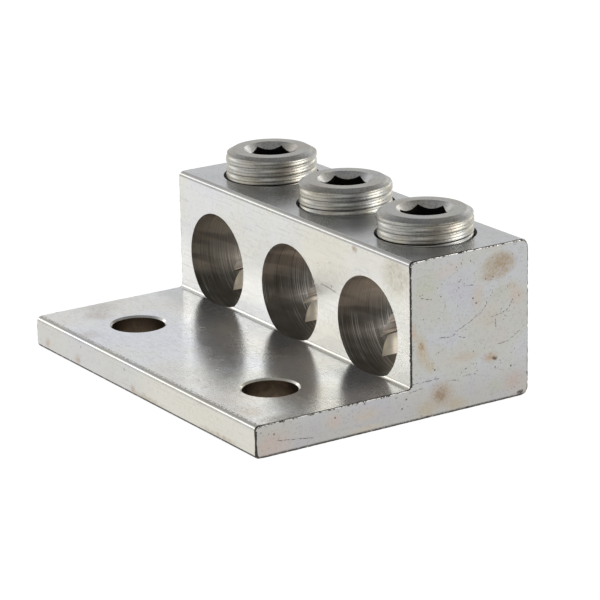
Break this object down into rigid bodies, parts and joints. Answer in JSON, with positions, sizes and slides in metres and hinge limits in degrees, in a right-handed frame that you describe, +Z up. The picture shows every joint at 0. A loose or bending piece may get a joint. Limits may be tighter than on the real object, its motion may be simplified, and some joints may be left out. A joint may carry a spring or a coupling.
{
  "type": "transformer lug",
  "caption": "L-shaped metal terminal lug: socket set screws clamp heavy wires in a drilled block, and a flat tongue bolts to a transformer terminal.",
  "frame": {"origin": "midway between the two bolt holes, on the mounting face", "axes": "+X along the row of wires, +Y from the tongue to the back of the block, +Z up out of the mounting face"},
  "size_m": [0.0754, 0.0565, 0.0335],
  "materials": {
    "tinned_bar": "tin-plated extruded aluminium, satin with fine brush marks, sawn ends, light stains",
    "tinned_screw": "tin-plated turned and rolled aluminium, satin"
  },
  "bodies": {
    "lug": {"lug_body": "tinned_bar"},
    "screw_left": {"set_screw_left": "tinned_screw"},
    "screw_middle": {"set_screw_middle": "tinned_screw"},
    "screw_right": {"set_screw_right": "tinned_screw"}
  },
  "joints": [
    {"name": "screw_left_travel", "type": "slide", "parent": "lug", "child": "screw_left", "axis": [0, 0, 1], "range_m": [-0.01429, 0.00159]},
    {"name": "screw_middle_travel", "type": "slide", "parent": "lug", "child": "screw_middle", "axis": [0, 0, 1], "range_m": [-0.01429, 0.00159]},
    {"name": "screw_right_travel", "type": "slide", "parent": "lug", "child": "screw_right", "axis": [0, 0, 1], "range_m": [-0.01429, 0.00159]}
  ]
}
